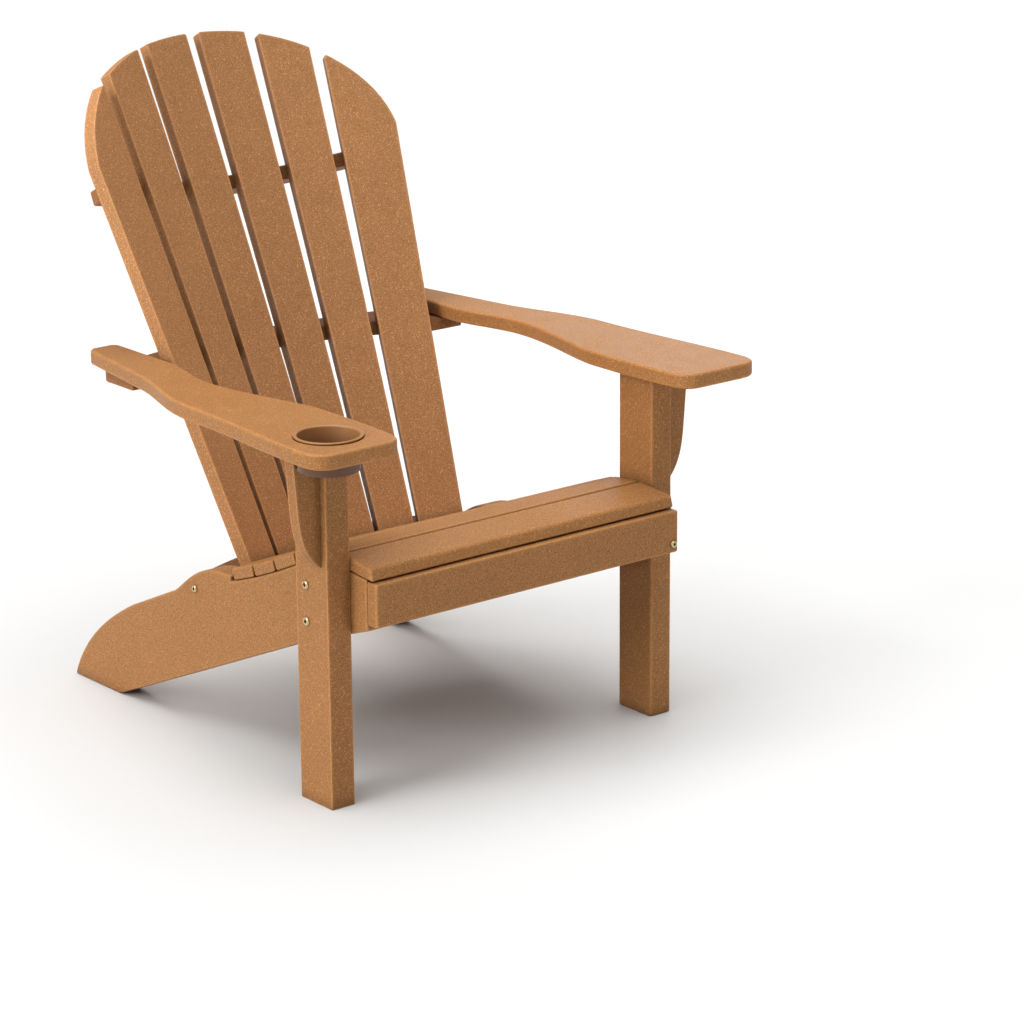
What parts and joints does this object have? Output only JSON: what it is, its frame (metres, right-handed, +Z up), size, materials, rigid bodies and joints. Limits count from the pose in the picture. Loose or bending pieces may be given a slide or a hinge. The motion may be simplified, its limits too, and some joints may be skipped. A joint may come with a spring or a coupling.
{
  "type": "adirondack chair",
  "caption": "Garden adirondack chair in poly lumber, with a fanned slatted back, a sloping slatted seat, wide flat arms and a cup holder set in one arm.",
  "frame": {"origin": "middle of the chair's bounding box in plan, on the ground", "axes": "+Z up, -Y towards the front of the seat, +X towards the sitter's left"},
  "size_m": [0.778, 0.8536, 0.9449],
  "materials": {
    "side_lumber": "fine mottled grain",
    "seat_lumber": "fine mottled grain",
    "back_lumber": "fine mottled grain",
    "arm_lumber": "fine mottled grain",
    "brace_lumber": "fine mottled grain",
    "cup_plastic": "smooth moulded",
    "brass_fasteners": "pale satin"
  },
  "bodies": {
    "root": {"arm_brace": "brace_lumber", "arm_brace_screw_1": "brass_fasteners", "arm_brace_screw_2": "brass_fasteners", "arm_brace_screw_3": "brass_fasteners", "arm_brace_screw_4": "brass_fasteners", "arm_brace_screw_5": "brass_fasteners", "arm_brace_screw_6": "brass_fasteners", "back_slat_1": "back_lumber", "back_slat_2": "back_lumber", "back_slat_3": "back_lumber", "back_slat_4": "back_lumber", "back_slat_5": "back_lumber", "back_slat_6": "back_lumber", "cup_holder": "cup_plastic", "front_apron": "seat_lumber", "front_seat_slat": "seat_lumber", "left_apron_screw": "brass_fasteners", "left_arm": "arm_lumber", "left_arm_bracket": "side_lumber", "left_arm_screw": "brass_fasteners", "left_front_leg": "side_lumber", "left_leg_bolt_lower": "brass_fasteners", "left_leg_bolt_upper": "brass_fasteners", "left_leg_nut_lower": "brass_fasteners", "left_leg_nut_upper": "brass_fasteners", "left_rail_screw": "brass_fasteners", "left_side_rail": "side_lumber", "lower_back_brace": "brace_lumber", "lower_brace_screw_1": "brass_fasteners", "lower_brace_screw_2": "brass_fasteners", "lower_brace_screw_3": "brass_fasteners", "lower_brace_screw_4": "brass_fasteners", "lower_brace_screw_5": "brass_fasteners", "lower_brace_screw_6": "brass_fasteners", "rear_seat_slat": "seat_lumber", "right_arm": "arm_lumber", "right_arm_bracket": "side_lumber", "right_arm_screw": "brass_fasteners", "right_front_leg": "side_lumber", "right_leg_bolt_lower": "brass_fasteners", "right_leg_bolt_upper": "brass_fasteners", "right_leg_nut_lower": "brass_fasteners", "right_leg_nut_upper": "brass_fasteners", "right_rail_screw": "brass_fasteners", "right_side_rail": "side_lumber", "seat_slat_2": "seat_lumber", "seat_slat_3": "seat_lumber", "seat_slat_4": "seat_lumber", "seat_slat_5": "seat_lumber", "upper_back_brace": "brace_lumber", "upper_brace_screw_1": "brass_fasteners", "upper_brace_screw_2": "brass_fasteners", "upper_brace_screw_3": "brass_fasteners", "upper_brace_screw_4": "brass_fasteners", "upper_brace_screw_5": "brass_fasteners", "upper_brace_screw_6": "brass_fasteners"}
  },
  "joints": []
}
